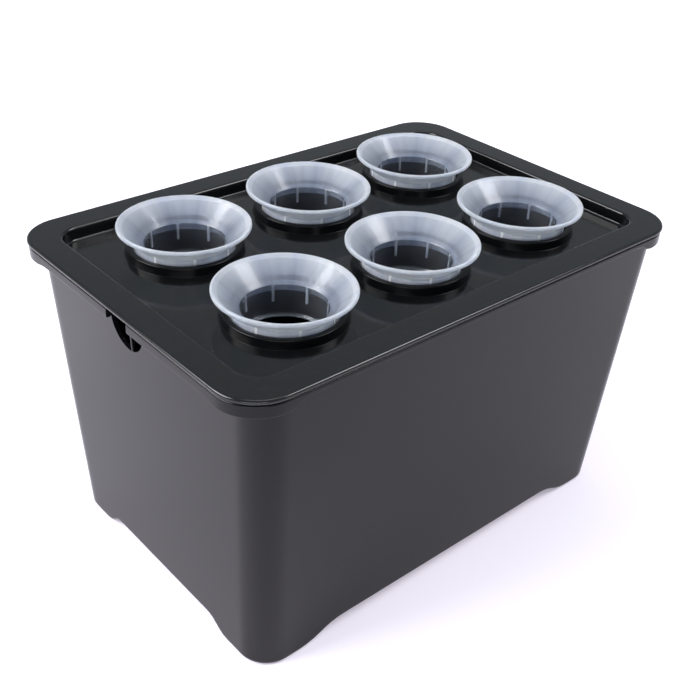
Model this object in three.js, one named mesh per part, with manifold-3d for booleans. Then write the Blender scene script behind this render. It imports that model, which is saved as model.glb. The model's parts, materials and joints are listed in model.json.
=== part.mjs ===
// Hydroponic grow box: a drafted tub on four feet, a lift-off lid with six collars, and six flared cups.
// Millimetres, +Z up. The origin is the middle of the footprint, on the plane that the feet stand on.
// X runs along the long side, and the hose port is in the short wall at -X.

import * as THREE from "three";
import { mergeVertices } from "three/addons/utils/BufferGeometryUtils.js";
import Module from "manifold-3d";

// Tub walls, measured outside at the mouth, from which they lean in evenly down to the base
const MOUTH_LENGTH = 281.5;
const MOUTH_WIDTH = 200.6;
const TUB_HEIGHT = 174.6;
const LEAN_END = 6.95;
const LEAN_SIDE = 10;
const WALL_CORNER = 17;
const WALL = 2.4;
const BASE_ROUND = 2.5;
const INNER_ROUND = 5;

// Feet: hollow wells pressed down out of the floor at the corners, with a long ramp on each inner side
const FOOT_HEIGHT = 8.5;
const FOOT_LENGTH = 24;
const FOOT_WIDTH = 29;
const RAMP_LENGTH = 32;
const RAMP_WIDTH = 18;

// Rim flange round the mouth: a plate with a skirt, deepest at the corners and hollow at the short ends
const RIM_OVERHANG_END = 8.6;
const RIM_OVERHANG_SIDE = 2.6;
const RIM_CORNER = 22.5;
const RIM_DROP_CORNER = 6.8;
const RIM_DROP_END = 5.2;
const RIM_DROP_SIDE = 3;
const RIM_RAMP = 12;
const RIM_ROUND = 1.8;
const RIM_CHAMFER = 1;
const RIM_PLATE = 2.2;
const RIM_LIP = 2.2;
const CHANNEL_MARGIN = 26;

// Hose port: a round-bottomed window under the tub's edge, crossed by a thin bar, behind a notch in the rim
const PORT_RADIUS = 14.2;
const PORT_OFFSET = 6;
const PORT_DEPTH = 11.3;
const BAR_WIDTH = 1.4;
const BAR_THICKNESS = 1.6;
const BAR_OFFSET = 3.2;
const NOTCH_WIDTH = 18;
const NOTCH_OFFSET = -1.5;

// Lid
const SEAT_GAP = 0.3;
const LID_LIP = 0.6;
const LID_EDGE = 2.6;
const EDGE_ROUND = 1.25;
const RECESS_DEPTH = 7;
const RECESS_DRAFT = 0.8;
const RECESS_ROUND = 1.5;
const PANEL = 2.2;
const TRAY_WALL = 2.2;
const TRAY_INSET_END = 2.2;
const TRAY_INSET_SIDE = 9.2;
const TRAY_CORNER = 14.2;
const LID_FIT = 0.6;
const LID_RIB = 1.8;
const LID_RIB_DEPTH = 5;

// Planting cups, with heights measured from the panel that they rest on
const CUP_ROWS = 2;
const CUP_COLUMNS = 3;
const CUP_RIM_RADIUS = 35;
const CUP_SPREAD_X = 0.216;
const CUP_SPREAD_Y = 0.4545;
const NECK_RADIUS = 21.2;
const NECK_RISE = 5.2;
const CONE_HEIGHT = 10.8;
const CUP_WALL = 1.6;
const RIM_BEAD = 1.8;
const SKIRT_GAP = 2.2;
const SKIRT_WALL = 1.5;
const TUBE_DROP = 17.2;
const TUBE_DRAFT = 0.8;
const TUBE_LIP = 0.8;
const TUBE_LIP_HEIGHT = 1.1;
const WEBS = 8;
const WEB = 1.2;
const WEB_LIFT = 0.6;

// Collars on the lid, sized from the cups that they hold
const COLLAR_CLEARANCE = 0.8;
const COLLAR_WALL = 3.2;
const COLLAR_HEIGHT = 5;
const COLLAR_DRAFT = 0.5;
const COLLAR_ROUND = 0.7;
const HOLE_CLEARANCE = 1;

// Facets
const CORNER_STEPS = 4;
const ROUND_STEPS = 32;
const EDGE_STEPS = 3;
const ARC_STEPS = 7;
const OVERCUT = 1;

const wasm = await Module();
wasm.setup();

// A closed geometry as a solid that can be joined and cut.
function solidOf(geometry) {
  const bare = geometry.clone();
  bare.deleteAttribute("normal");
  bare.deleteAttribute("uv");
  const merged = mergeVertices(bare, 1e-4);
  const vertProperties = merged.attributes.position.array;
  const triVerts = new Uint32Array(merged.index.array);
  return new wasm.Manifold(new wasm.Mesh({ numProp: 3, vertProperties, triVerts }));
}

// A solid as a geometry to draw.
function geometryOf(solid) {
  const { vertProperties, triVerts } = solid.getMesh();
  const geometry = new THREE.BufferGeometry();
  geometry.setAttribute("position", new THREE.BufferAttribute(vertProperties, 3));
  geometry.setIndex(new THREE.BufferAttribute(triVerts, 1));
  geometry.computeVertexNormals();
  return geometry;
}

// The points of a rectangle with round corners, from its half sizes, anticlockwise.
function roundedOutline(halfX, halfY, radius) {
  const path = new THREE.Path();
  path.absarc(halfX - radius, halfY - radius, radius, 0, Math.PI / 2);
  path.absarc(radius - halfX, halfY - radius, radius, Math.PI / 2, Math.PI);
  path.absarc(radius - halfX, radius - halfY, radius, Math.PI, 1.5 * Math.PI);
  path.absarc(halfX - radius, radius - halfY, radius, 1.5 * Math.PI, 2 * Math.PI);
  return path.getPoints(CORNER_STEPS);
}

// A solid lofted up through rounded rectangles, each { z, x, y, r }: height, half sizes and corner radius.
function loft(levels) {
  const rings = levels.map(({ x, y, r }) => roundedOutline(x, y, r));
  const count = rings[0].length;
  const last = (levels.length - 1) * count;
  const positions = rings.flatMap((ring, level) => ring.flatMap((p) => [p.x, p.y, levels[level].z]));
  const index = [];
  for (let level = 0; level < last; level += count) {
    for (let i = 0; i < count; i++) {
      const next = (i + 1) % count;
      index.push(level + i, level + next, level + count + next);
      index.push(level + i, level + count + next, level + count + i);
    }
  }
  for (let i = 1; i < count - 1; i++) {
    index.push(0, i + 1, i);
    index.push(last, last + i, last + i + 1);
  }
  const geometry = new THREE.BufferGeometry();
  geometry.setAttribute("position", new THREE.Float32BufferAttribute(positions, 3));
  geometry.setIndex(index);
  return solidOf(geometry);
}

// The angles at which a rounded edge has its levels.
const quarterTurn = Array.from({ length: EDGE_STEPS + 1 }, (_, step) => ((step / EDGE_STEPS) * Math.PI) / 2);

// Levels that round an edge off: from the inset at the end of a wall to the full size, as a quarter circle.
function roundedEdge(z, radius, size, direction) {
  const levels = quarterTurn.map((angle) => {
    const rise = radius * (1 - Math.cos(angle));
    return size(z + direction * rise, radius * (1 - Math.sin(angle)));
  });
  return direction > 0 ? levels : levels.reverse();
}

// A closed ring or cup turned round Z from its section, [radius, height] points that run anticlockwise.
function turned(section) {
  const points = [...section, section[0]].map(([radius, height]) => new THREE.Vector2(radius, height));
  return new THREE.LatheGeometry(points, ROUND_STEPS).rotateX(Math.PI / 2);
}

// A flat shape drawn in X and Z, given its thickness in Y about the middle.
function upright(shape, thickness) {
  const geometry = new THREE.ExtrudeGeometry(shape, {
    depth: thickness,
    bevelEnabled: false,
    curveSegments: ARC_STEPS,
  });
  return geometry.translate(0, 0, -thickness / 2).rotateX(Math.PI / 2);
}

// A box between two corners.
function block(low, high) {
  const size = high.map((value, axis) => value - low[axis]);
  const middle = high.map((value, axis) => (value + low[axis]) / 2);
  return new THREE.BoxGeometry(...size).translate(...middle);
}

// Tub

// The wall's outside at a height, pulled in by an inset.
function wallLevel(z, inset) {
  const share = 1 - z / TUB_HEIGHT;
  const x = MOUTH_LENGTH / 2 - LEAN_END * share - inset;
  const y = MOUTH_WIDTH / 2 - LEAN_SIDE * share - inset;
  return { z, x, y, r: WALL_CORNER - inset };
}

function rimLevel(z, inset) {
  const x = MOUTH_LENGTH / 2 + RIM_OVERHANG_END - inset;
  const y = MOUTH_WIDTH / 2 + RIM_OVERHANG_SIDE - inset;
  return { z, x, y, r: RIM_CORNER - inset };
}

// A low arch that spans X and runs along Y: flat on top, with an S-curved ramp down at each end of its span.
function arch(halfSpan, ramp, height, run) {
  const shape = new THREE.Shape();
  shape.moveTo(-halfSpan, -OVERCUT);
  shape.lineTo(-halfSpan, 0);
  shape.bezierCurveTo(-halfSpan + ramp / 2, 0, -halfSpan + ramp / 2, height, -halfSpan + ramp, height);
  shape.lineTo(halfSpan - ramp, height);
  shape.bezierCurveTo(halfSpan - ramp / 2, height, halfSpan - ramp / 2, 0, halfSpan, 0);
  shape.lineTo(halfSpan, -OVERCUT);
  return upright(shape, run);
}

// The arches between the feet, as the space under the floor. A margin grows them into the floor's top.
function underFloor(margin) {
  const base = wallLevel(0, 0);
  const halfLength = base.x - FOOT_LENGTH + margin;
  const halfWidth = base.y - FOOT_WIDTH + margin;
  const height = FOOT_HEIGHT + margin;
  const alongY = arch(halfLength, RAMP_LENGTH, height, 2 * MOUTH_WIDTH);
  const alongX = arch(halfWidth, RAMP_WIDTH, height, 2 * MOUTH_LENGTH).rotateZ(Math.PI / 2);
  return solidOf(alongY).add(solidOf(alongX));
}

// The channel that hollows the skirt of one short end, between the wall and the lip.
function channel(side) {
  const halfWidth = rimLevel(TUB_HEIGHT, CHANNEL_MARGIN).y;
  const inner = side * (MOUTH_LENGTH / 2 - WALL);
  const outer = side * rimLevel(TUB_HEIGHT, RIM_LIP).x;
  const low = [Math.min(inner, outer), -halfWidth, TUB_HEIGHT - RIM_DROP_CORNER - OVERCUT];
  const high = [Math.max(inner, outer), halfWidth, TUB_HEIGHT - RIM_PLATE];
  return block(low, high);
}

// The notch through the rim that lets a hose reach the port.
function notch() {
  const outside = -rimLevel(TUB_HEIGHT, -OVERCUT).x;
  const low = [outside, NOTCH_OFFSET - NOTCH_WIDTH / 2, TUB_HEIGHT - RIM_DROP_CORNER - OVERCUT];
  const high = [-MOUTH_LENGTH / 2, NOTCH_OFFSET + NOTCH_WIDTH / 2, TUB_HEIGHT + OVERCUT];
  return block(low, high);
}

function rim() {
  const bottom = TUB_HEIGHT - RIM_DROP_CORNER;
  const underside = roundedEdge(bottom, RIM_ROUND, rimLevel, 1);
  const topEdge = [rimLevel(TUB_HEIGHT - RIM_CHAMFER, 0), rimLevel(TUB_HEIGHT, RIM_CHAMFER)];
  const { x, y, r } = rimLevel(TUB_HEIGHT, 0);
  const overSides = arch(x - r, RIM_RAMP, RIM_DROP_CORNER - RIM_DROP_SIDE, 4 * y);
  const overEnds = arch(y - r, RIM_RAMP, RIM_DROP_CORNER - RIM_DROP_END, 4 * x).rotateZ(Math.PI / 2);
  const cuts = [
    overSides.translate(0, 0, bottom),
    overEnds.translate(0, 0, bottom),
    channel(-1),
    channel(1),
    notch(),
  ];
  return cuts.reduce((body, cut) => body.subtract(solidOf(cut)), loft([...underside, ...topEdge]));
}

// The port's window through the short wall, less its bar. The outline is drawn in Y and Z, and runs along X.
function port() {
  const top = TUB_HEIGHT - RIM_PLATE;
  const centre = TUB_HEIGHT - PORT_DEPTH;
  const shape = new THREE.Shape();
  shape.moveTo(PORT_OFFSET - PORT_RADIUS, top);
  shape.lineTo(PORT_OFFSET - PORT_RADIUS, centre);
  shape.absarc(PORT_OFFSET, centre, PORT_RADIUS, Math.PI, 2 * Math.PI);
  shape.lineTo(PORT_OFFSET + PORT_RADIUS, top);
  const throughWall = LEAN_END + WALL + OVERCUT;
  const opening = upright(shape, throughWall).rotateZ(Math.PI / 2);
  opening.translate((throughWall - MOUTH_LENGTH) / 2, 0, 0);
  const barBack = BAR_THICKNESS - wallLevel(centre, 0).x;
  const bar = block(
    [-MOUTH_LENGTH, BAR_OFFSET - BAR_WIDTH / 2, centre - PORT_RADIUS - OVERCUT],
    [barBack, BAR_OFFSET + BAR_WIDTH / 2, top + OVERCUT],
  );
  return solidOf(opening).subtract(solidOf(bar));
}

function tub() {
  const walls = loft([...roundedEdge(0, BASE_ROUND, wallLevel, 1), wallLevel(TUB_HEIGHT, 0)]);
  const insideLevel = (z, inset) => wallLevel(z, WALL + inset);
  const floorEdge = roundedEdge(WALL, INNER_ROUND, insideLevel, 1);
  const inside = loft([...floorEdge, insideLevel(TUB_HEIGHT + OVERCUT, 0)]);
  const cavity = inside.subtract(underFloor(WALL));
  return walls.add(rim()).subtract(cavity).subtract(underFloor(0)).subtract(port());
}

// Cups: the section's shape, shared by the collars that hold them

const neckOuter = NECK_RADIUS + CUP_WALL;
const skirtInner = neckOuter + SKIRT_GAP;
const skirtOuter = skirtInner + SKIRT_WALL;
const coneSlope = (CONE_HEIGHT - RIM_BEAD / 2) / (CUP_RIM_RADIUS - RIM_BEAD - NECK_RADIUS);
const coneDrop = CUP_WALL * Math.hypot(1, coneSlope);
const rimTop = NECK_RISE + CONE_HEIGHT;

// The height of the cone's underside at a radius.
function underCone(radius) {
  return NECK_RISE + coneSlope * (radius - NECK_RADIUS) - coneDrop;
}

// One of the webs that tie the skirt to the neck, sloped to end inside the cone's wall.
function web() {
  const inner = NECK_RADIUS + CUP_WALL / 2;
  const outer = skirtInner + SKIRT_WALL / 2;
  const intoCone = coneDrop / 2;
  const shape = new THREE.Shape();
  shape.moveTo(inner, WEB_LIFT);
  shape.lineTo(outer, WEB_LIFT);
  shape.lineTo(outer, underCone(outer) + intoCone);
  shape.lineTo(inner, underCone(inner) + intoCone);
  return upright(shape, WEB);
}

// One cup in its own frame, with the axis on Z and the panel at height 0. It is open right through.
function cup() {
  const tubeEnd = NECK_RISE - TUBE_DROP;
  const beadRadius = RIM_BEAD / 2;
  const bead = new THREE.Path();
  bead.absarc(CUP_RIM_RADIUS - beadRadius, rimTop - beadRadius, beadRadius, 0, Math.PI);
  const section = [
    [neckOuter - TUBE_DRAFT, tubeEnd],
    [neckOuter, underCone(neckOuter)],
    [skirtInner, underCone(skirtInner)],
    [skirtInner, SEAT_GAP],
    [skirtOuter, SEAT_GAP],
    [skirtOuter, underCone(skirtOuter)],
    [CUP_RIM_RADIUS - RIM_BEAD, underCone(CUP_RIM_RADIUS - RIM_BEAD)],
    [CUP_RIM_RADIUS, rimTop - RIM_BEAD],
    ...bead.getPoints(2).map((p) => [p.x, p.y]),
    [NECK_RADIUS, NECK_RISE],
    [NECK_RADIUS - TUBE_DRAFT, tubeEnd + 2 * TUBE_LIP_HEIGHT],
    [NECK_RADIUS - TUBE_DRAFT - TUBE_LIP, tubeEnd + TUBE_LIP_HEIGHT],
    [NECK_RADIUS - TUBE_DRAFT - TUBE_LIP, tubeEnd],
  ];
  let body = solidOf(turned(section));
  for (let i = 0; i < WEBS; i++) {
    body = body.add(solidOf(web().rotateZ(((i + 0.5) * 2 * Math.PI) / WEBS)));
  }
  return geometryOf(body);
}

// Lid, in its own frame with the underside of the border at height 0

const panelTop = LID_EDGE - RECESS_DEPTH;
const mouthInnerX = MOUTH_LENGTH / 2 - WALL;
const mouthInnerY = MOUTH_WIDTH / 2 - WALL;

function borderLevel(z, inset) {
  return rimLevel(z, inset - LID_LIP);
}

function trayLevel(z, inset) {
  const x = mouthInnerX - TRAY_INSET_END - inset;
  const y = mouthInnerY - TRAY_INSET_SIDE - inset;
  return { z, x, y, r: TRAY_CORNER - inset };
}

function ribLevel(z, inset) {
  const x = mouthInnerX - LID_FIT - inset;
  const y = mouthInnerY - LID_FIT - inset;
  return { z, x, y, r: WALL_CORNER - WALL - LID_FIT - inset };
}

// The drafted recess that sinks the panel below the border, rounded at its lip and filleted at the panel.
function recess() {
  const floorLevel = (z, inset) => trayLevel(z, TRAY_WALL + RECESS_DRAFT + inset);
  const lipLevel = (z, inset) => trayLevel(z, TRAY_WALL + inset - RECESS_ROUND);
  const foot = roundedEdge(panelTop, RECESS_ROUND, floorLevel, 1);
  const lipStart = LID_EDGE - RECESS_ROUND;
  const lip = quarterTurn.map((angle) =>
    lipLevel(lipStart + RECESS_ROUND * Math.sin(angle), RECESS_ROUND * Math.cos(angle)),
  );
  return loft([...foot, ...lip, lipLevel(LID_EDGE + OVERCUT, 0)]);
}

// A collar stands on the panel round its hole, with a fillet at its foot and a lead-in at its mouth.
function collar() {
  const bore = skirtOuter + COLLAR_CLEARANCE;
  const outer = bore + COLLAR_WALL;
  const section = [
    [bore, -PANEL / 2],
    [outer + COLLAR_DRAFT + COLLAR_ROUND, -PANEL / 2],
    [outer + COLLAR_DRAFT + COLLAR_ROUND, 0],
    [outer + COLLAR_DRAFT, COLLAR_ROUND],
    [outer, COLLAR_HEIGHT - COLLAR_ROUND],
    [outer - COLLAR_ROUND, COLLAR_HEIGHT],
    [bore + COLLAR_ROUND, COLLAR_HEIGHT],
    [bore, COLLAR_HEIGHT - COLLAR_ROUND],
  ];
  return turned(section);
}

// The hole under a collar, through the panel.
function hole() {
  const radius = neckOuter + HOLE_CLEARANCE;
  return new THREE.CylinderGeometry(radius, radius, 4 * PANEL, ROUND_STEPS).rotateX(Math.PI / 2);
}

// The pitch of cups in a row, whose gaps each take a share of the length that the cups leave free.
function pitch(recessHalf, count, spread) {
  const rimWidth = 2 * CUP_RIM_RADIUS;
  return rimWidth + spread * (2 * recessHalf - count * rimWidth);
}

// The places of the cups on the panel, as [x, y, name].
function cupPlaces() {
  const recessEdge = trayLevel(LID_EDGE, TRAY_WALL);
  const pitchX = pitch(recessEdge.x, CUP_COLUMNS, CUP_SPREAD_X);
  const pitchY = pitch(recessEdge.y, CUP_ROWS, CUP_SPREAD_Y);
  const rows = ["front", "back"];
  const columns = ["left", "middle", "right"];
  const places = [];
  for (let row = 0; row < CUP_ROWS; row++) {
    for (let column = 0; column < CUP_COLUMNS; column++) {
      const x = (column - (CUP_COLUMNS - 1) / 2) * pitchX;
      const y = (row - (CUP_ROWS - 1) / 2) * pitchY;
      places.push([x, y, `cup_${rows[row]}_${columns[column]}`]);
    }
  }
  return places;
}

function lid() {
  const lowerEdge = roundedEdge(0, EDGE_ROUND, borderLevel, 1);
  const upperEdge = roundedEdge(LID_EDGE, EDGE_ROUND, borderLevel, -1);
  const border = loft([...lowerEdge, ...upperEdge]);
  const trayUnderside = roundedEdge(panelTop - PANEL, EDGE_ROUND, trayLevel, 1);
  const tray = loft([...trayUnderside, trayLevel(LID_EDGE / 2, 0)]);
  const ribOutside = loft([ribLevel(-LID_RIB_DEPTH, 0), ribLevel(LID_EDGE / 2, 0)]);
  const ribInside = loft([ribLevel(-LID_RIB_DEPTH - OVERCUT, LID_RIB), ribLevel(0, LID_RIB)]);
  let body = border.add(ribOutside.subtract(ribInside)).add(tray).subtract(recess());
  for (const [x, y] of cupPlaces()) {
    body = body.add(solidOf(collar().translate(x, y, panelTop)));
    body = body.subtract(solidOf(hole().translate(x, y, panelTop)));
  }
  return body;
}

// Assembly

const glossyBlack = { color: 0x0c0d0f, roughness: 0.18, metalness: 0 };
const satinBlack = { color: 0x1b1b1e, roughness: 0.42, metalness: 0 };
const frosted = { color: 0xdfe6ee, roughness: 0.38, metalness: 0, transparent: true, opacity: 0.7 };

function named(name, geometry, finish) {
  const mesh = new THREE.Mesh(geometry, new THREE.MeshStandardMaterial(finish));
  mesh.name = name;
  return mesh;
}

const growBox = new THREE.Group();
growBox.add(named("tub", geometryOf(tub()), satinBlack));

const lidAssembly = new THREE.Group();
lidAssembly.position.z = TUB_HEIGHT + SEAT_GAP;
lidAssembly.add(named("lid", geometryOf(lid()), glossyBlack));
growBox.add(lidAssembly);

const cupGeometry = cup();
for (const [x, y, name] of cupPlaces()) {
  const mesh = named(name, cupGeometry, frosted);
  mesh.position.set(x, y, panelTop);
  lidAssembly.add(mesh);
}

export default growBox;
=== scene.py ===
import json
import math

import bmesh
import bpy
import numpy as np
from mathutils import Matrix, Vector

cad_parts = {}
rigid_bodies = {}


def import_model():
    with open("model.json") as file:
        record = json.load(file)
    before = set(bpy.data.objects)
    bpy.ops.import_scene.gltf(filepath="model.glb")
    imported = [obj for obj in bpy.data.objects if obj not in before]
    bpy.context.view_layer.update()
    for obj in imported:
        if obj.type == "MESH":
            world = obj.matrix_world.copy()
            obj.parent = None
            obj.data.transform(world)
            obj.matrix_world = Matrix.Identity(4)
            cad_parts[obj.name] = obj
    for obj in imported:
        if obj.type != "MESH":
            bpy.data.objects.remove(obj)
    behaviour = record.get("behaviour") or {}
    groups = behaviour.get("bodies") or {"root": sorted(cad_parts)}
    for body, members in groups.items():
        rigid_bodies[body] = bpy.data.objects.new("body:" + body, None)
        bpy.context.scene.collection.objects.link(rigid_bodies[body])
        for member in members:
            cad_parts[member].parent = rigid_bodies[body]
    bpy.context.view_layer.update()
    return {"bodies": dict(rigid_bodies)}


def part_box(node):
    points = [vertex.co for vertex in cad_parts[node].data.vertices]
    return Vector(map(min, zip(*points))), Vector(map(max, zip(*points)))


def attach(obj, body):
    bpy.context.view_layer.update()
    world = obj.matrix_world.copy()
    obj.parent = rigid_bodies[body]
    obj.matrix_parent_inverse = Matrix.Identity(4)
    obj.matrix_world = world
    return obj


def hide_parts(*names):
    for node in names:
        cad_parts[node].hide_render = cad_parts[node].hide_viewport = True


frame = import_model()

# Tub: one moulding in satin black polypropylene that holds the water. Its walls lean out to the
# mouth, the floor is pressed down into four hollow feet, and a flange with a skirt stiffens the rim.
# A notch in the rim at one short end and a round-bottomed window below it let an air hose through.

MM = 0.001
mouth_length, mouth_width, tub_height = 281.5, 200.6, 174.6
mouth_x, mouth_y = mouth_length / 2, mouth_width / 2
lean_end, lean_side = 6.95, 10.0
wall, wall_corner = 2.4, 17.0
base_round, arch_round, inner_round = 2.5, 1.0, 5.0
foot_height, foot_length, foot_width = 8.5, 24.0, 29.0
ramp_length, ramp_width = 32.0, 18.0
flange_end, flange_side, rim_corner = 8.6, 2.6, 22.5
rim_x, rim_y = mouth_x + flange_end, mouth_y + flange_side
rim_drop_corner, rim_drop_end, rim_drop_side, rim_ramp = 6.8, 5.2, 3.0, 12.0
rim_round, rim_edge, rim_plate, rim_lip, rim_chamfer = 0.8, 1.0, 2.2, 2.2, 0.3
channel_margin = 26.0
channel_half = rim_y - channel_margin
notch_low, notch_high = -10.5, 7.5
tub_corner_steps, tub_long_steps, tub_short_steps = 12, 64, 48
round_steps, fine_round_steps = 5, 3
floor_rings, floor_margin = 40, 0.02
# Shares of the wall's height at which its rings lie. The end ones hold the rounded edges.
outside_shares = (0.004, 0.12, 0.25, 0.4, 0.55, 0.7, 0.85, 0.996, 1.0)
inside_shares = (0.01, 0.15, 0.3, 0.5, 0.7, 0.85, 0.99)
# A step in the rim lies between two points of the outline that are a hair apart.
step_hair = 2e-4


def rounded_outline(corner_steps, long_shares, short_shares):
    """Each point of a rounded outline as its share of the straight sides and the way it faces."""
    share, facing = [], []
    for turn, (side_x, side_y) in enumerate(((1, 1), (-1, 1), (-1, -1), (1, -1))):
        for step in range(corner_steps + 1):
            angle = (turn + step / corner_steps) * math.pi / 2
            share.append((side_x, side_y))
            facing.append((math.cos(angle), math.sin(angle)))
        straight = long_shares if turn % 2 == 0 else short_shares
        for along in straight:
            share.append((along * -side_x, side_y) if turn % 2 == 0 else (side_x, along * -side_y))
            facing.append((0, side_y) if turn % 2 == 0 else (side_x, 0))
    return np.array(share, float), np.array(facing, float)


def ring(outline, half_x, half_y, radius, z):
    """A rounded outline at its real size, in millimetres."""
    share, facing = outline
    x = share[:, 0] * (half_x - radius) + facing[:, 0] * radius
    y = share[:, 1] * (half_y - radius) + facing[:, 1] * radius
    return np.column_stack((x, y, np.broadcast_to(z, x.shape)))


def skin(mesh, rings):
    """Faces between rings that follow one another, given in millimetres."""
    rows = [[mesh.verts.new(Vector(point) * MM) for point in points] for points in rings]
    for low, high in zip(rows, rows[1:]):
        for i in range(len(low)):
            j = (i + 1) % len(low)
            mesh.faces.new((low[i], low[j], high[j], high[i]))
    return rows


def close_end(mesh, row):
    """Faces that close a small last ring to its middle."""
    middle = mesh.verts.new(sum((v.co for v in row), Vector()) / len(row))
    for i in range(len(row)):
        mesh.faces.new((row[i], row[(i + 1) % len(row)], middle))


def prism(mesh, ends):
    """A closed bar between two outlines, given in millimetres."""
    for row in skin(mesh, ends):
        mesh.faces.new(row)


def edge_rounding(radius, steps):
    """The rise and the inset of a rounded lower edge, from its level end to its upright one."""
    turns = [step / steps * math.pi / 2 for step in range(steps + 1)]
    return [(radius * (1 - math.cos(turn)), radius * (1 - math.sin(turn))) for turn in turns]


def finished(name, mesh, *materials):
    """A piece from its mesh: doubles merged, faces outward, smooth but for its hard edges."""
    merge_reach, sharp_turn = 1e-6, math.radians(48)
    bmesh.ops.remove_doubles(mesh, verts=mesh.verts, dist=merge_reach)
    bmesh.ops.recalc_face_normals(mesh, faces=mesh.faces)
    data = bpy.data.meshes.new(name)
    mesh.to_mesh(data)
    mesh.free()
    data.shade_smooth()
    data.set_sharp_from_angle(angle=sharp_turn)
    for material in materials:
        data.materials.append(material)
    piece = bpy.data.objects.new(name, data)
    bpy.context.scene.collection.objects.link(piece)
    return piece


def even_normals(piece):
    """Keeps the flat faces flat where they run into a rounded edge."""
    weighted = piece.modifiers.new("even_normals", "WEIGHTED_NORMAL")
    weighted.keep_sharp = True
    weighted.weight = 60


def ramp_rise(share):
    """The S-curve of a ramp: its rise, 0 to 1, at a share of its length.

    It is a cubic curve whose two level handles are half as long as the ramp.
    """
    low, high, halvings = np.zeros_like(share), np.ones_like(share), 24
    for _ in range(halvings):
        middle = (low + high) / 2
        short = 1.5 * middle * (1 - middle) + middle**3 < share
        low, high = np.where(short, middle, low), np.where(short, high, middle)
    return middle * middle * (3 - 2 * middle)


def arch(along, half_span, ramp, height):
    """The height of an arch that comes down over a ramp at both ends of its span."""
    return height * ramp_rise(np.clip((half_span - np.abs(along)) / ramp, 0, 1))


def under_floor(x, y, margin):
    """The height of the space under the floor, or of the floor's top with the wall as margin."""
    half_x = mouth_x - lean_end - foot_length + margin
    half_y = mouth_y - lean_side - foot_width + margin
    lengthways = arch(x, half_x, ramp_length, foot_height + margin)
    return np.maximum(lengthways, arch(y, half_y, ramp_width, foot_height + margin))


def straight_shares(steps):
    """The points inside a straight side, as shares from -1 to 1."""
    return list(np.linspace(-1, 1, steps + 1)[1:-1])


def step_shares(*places):
    """Two points a hair apart at each place on a short side where the rim has a step."""
    half = rim_y - rim_corner
    return [place / half + hair for place in places for hair in (-step_hair, step_hair)]


notch_shares = step_shares(notch_low, notch_high)
mirrored_shares = [-share for share in notch_shares]
channel_shares = step_shares(-channel_half, channel_half)
short_shares = sorted(straight_shares(tub_short_steps) + notch_shares + mirrored_shares + channel_shares)
tub_outline = rounded_outline(tub_corner_steps, straight_shares(tub_long_steps), short_shares)


def wall_ring(z, inset):
    """The leaning wall's outline at a height, set in from its outside."""
    share = 1 - z / tub_height
    return ring(
        tub_outline,
        mouth_x - lean_end * share - inset,
        mouth_y - lean_side * share - inset,
        wall_corner - inset,
        z,
    )


def rim_ring(z, inset):
    """The flange's outline, set in from its outside."""
    return ring(tub_outline, rim_x - inset, rim_y - inset, rim_corner - inset, z)


tub_mesh = bmesh.new()
tub_rings = []

# The underside, from its middle out to the rounded lower edge.
foot_edge = wall_ring(0.0, base_round)
arch_edge = under_floor(foot_edge[:, 0], foot_edge[:, 1], 0)
edge_round = base_round + (arch_round - base_round) * arch_edge / foot_height
underside = wall_ring(arch_edge, edge_round)
for share in np.linspace(floor_margin, 1 - floor_margin, floor_rings):
    points = underside * (share, share, 0)
    points[:, 2] = under_floor(points[:, 0], points[:, 1], 0)
    tub_rings.append(points)
for rise, inset in edge_rounding(edge_round, round_steps):
    tub_rings.append(wall_ring(arch_edge + rise, inset))

# The outside of the walls, up to the flange or to the notch in it.
rim_outside = rim_ring(tub_height, 0)
end_facing, along_end = tub_outline[1][:, 0], rim_outside[:, 1]
in_notch = np.isclose(end_facing, -1) & (along_end > notch_low) & (along_end < notch_high)
in_channel = np.isclose(np.abs(end_facing), 1) & (np.abs(along_end) < channel_half)
skirt = tub_height - rim_drop_corner + np.maximum(
    arch(rim_outside[:, 0], rim_x - rim_corner, rim_ramp, rim_drop_corner - rim_drop_side),
    arch(rim_outside[:, 1], rim_y - rim_corner, rim_ramp, rim_drop_corner - rim_drop_end),
)
wall_end = np.where(in_channel, tub_height - rim_plate, skirt)
wall_end = np.where(in_notch, tub_height - rim_edge, wall_end)
wall_start = arch_edge + edge_round
for share in outside_shares:
    tub_rings.append(wall_ring(wall_start + share * (wall_end - wall_start), 0))


def rim_or_notch(z, inset):
    """The flange's outline, which steps back to the wall inside the notch."""
    return np.where(in_notch[:, None], wall_ring(tub_height - rim_edge, 0), rim_ring(z, inset))


# The flange: its underside, its skirt and the rounded edges of its top.
tub_rings.append(rim_or_notch(wall_end, rim_lip))
tub_rings.append(rim_or_notch(skirt + rim_chamfer, rim_lip))
tub_rings.append(rim_or_notch(skirt, rim_lip - rim_chamfer))
for rise, inset in edge_rounding(rim_round, round_steps):
    tub_rings.append(rim_or_notch(skirt + rise, inset))
for drop, inset in reversed(edge_rounding(rim_edge, fine_round_steps)):
    on_wall, on_rim = wall_ring(tub_height - drop, inset), rim_ring(tub_height - drop, inset)
    tub_rings.append(np.where(in_notch[:, None], on_wall, on_rim))
for drop, inset in edge_rounding(rim_edge, fine_round_steps):
    tub_rings.append(wall_ring(tub_height - drop, wall - inset))

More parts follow.
